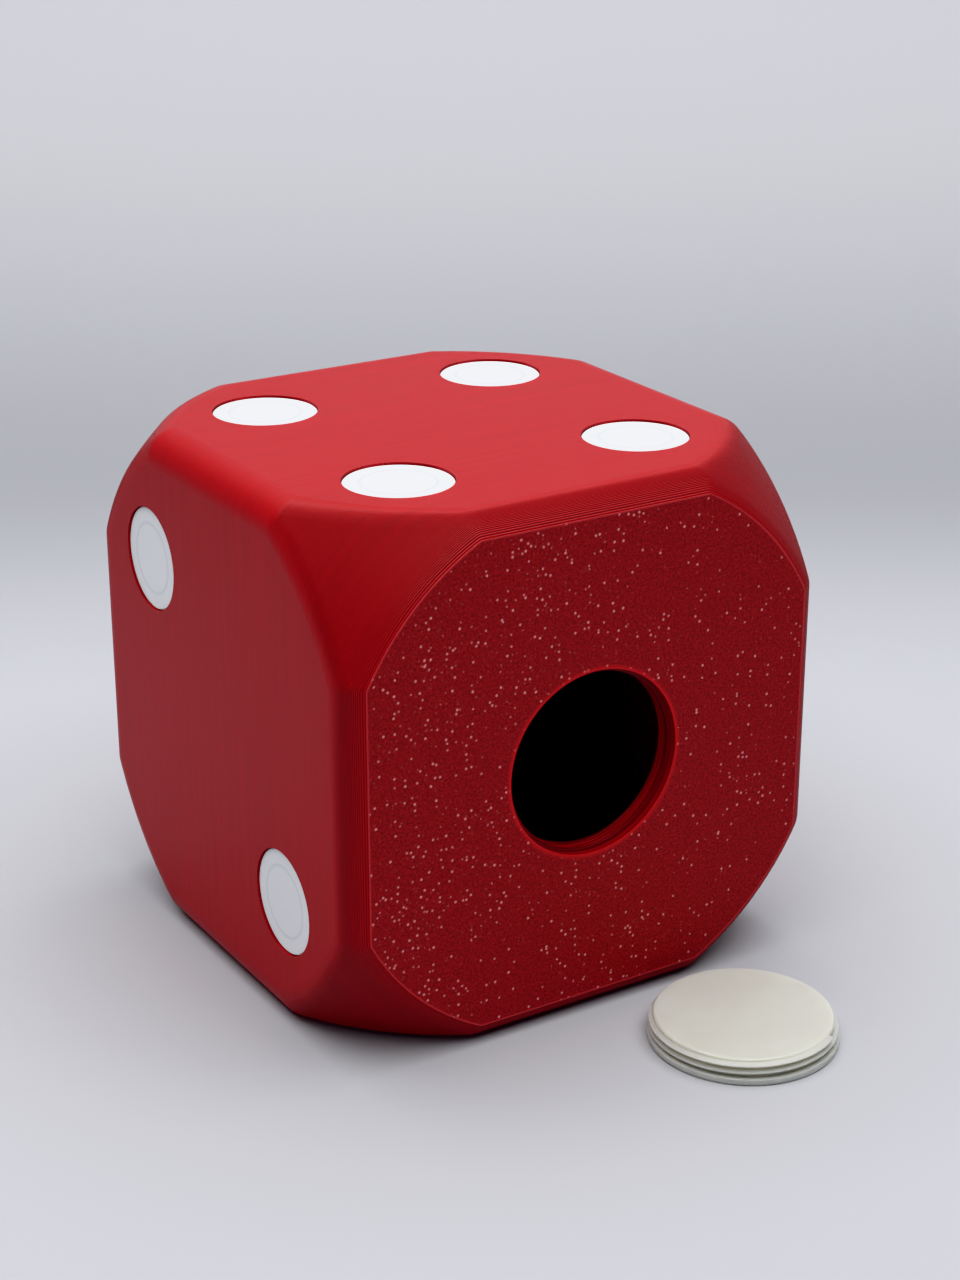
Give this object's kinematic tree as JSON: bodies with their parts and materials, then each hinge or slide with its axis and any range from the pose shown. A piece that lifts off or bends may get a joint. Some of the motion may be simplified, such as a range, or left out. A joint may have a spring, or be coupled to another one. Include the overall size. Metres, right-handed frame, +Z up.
{
  "type": "casino die",
  "caption": "Large hollow printed die with rounded edges, ball-cut corners, inset white pips and a screw cap that fills the threaded mouth in its one-pip face.",
  "frame": {"origin": "middle of the face the die stands on, at the level of the table", "axes": "+Z up through the four-pip face; -Y out of the mouth, which is the one-pip face; -X out of the two-pip face; +X out of the five-pip face"},
  "size_m": [0.1, 0.1394, 0.1],
  "materials": {
    "red_print": "matte printed plastic, with fine layer lines",
    "white_print": "matte printed plastic",
    "natural_print": "slightly translucent printed plastic"
  },
  "bodies": {
    "die": {"shell": "red_print", "pip_two_rear_upper": "white_print", "pip_two_front_lower": "white_print", "pip_three_rear_left": "white_print", "pip_three_middle": "white_print", "pip_three_front_right": "white_print", "pip_four_front_left": "white_print", "pip_four_front_right": "white_print", "pip_four_rear_left": "white_print", "pip_four_rear_right": "white_print", "pip_five_front_upper": "white_print", "pip_five_rear_upper": "white_print", "pip_five_middle": "white_print", "pip_five_front_lower": "white_print", "pip_five_rear_lower": "white_print", "pip_six_left_upper": "white_print", "pip_six_left_middle": "white_print", "pip_six_left_lower": "white_print", "pip_six_right_upper": "white_print", "pip_six_right_middle": "white_print", "pip_six_right_lower": "white_print"},
    "cap": {"screw_cap": "natural_print"}
  },
  "joints": [
    {"name": "cap_lift", "type": "hinge", "parent": "die", "child": "cap", "pos_m": [0.00511, -0.04004, 0.01576], "axis": [-0.9315, -0.2573, -0.2573], "range_deg": [0, 94.07]}
  ]
}
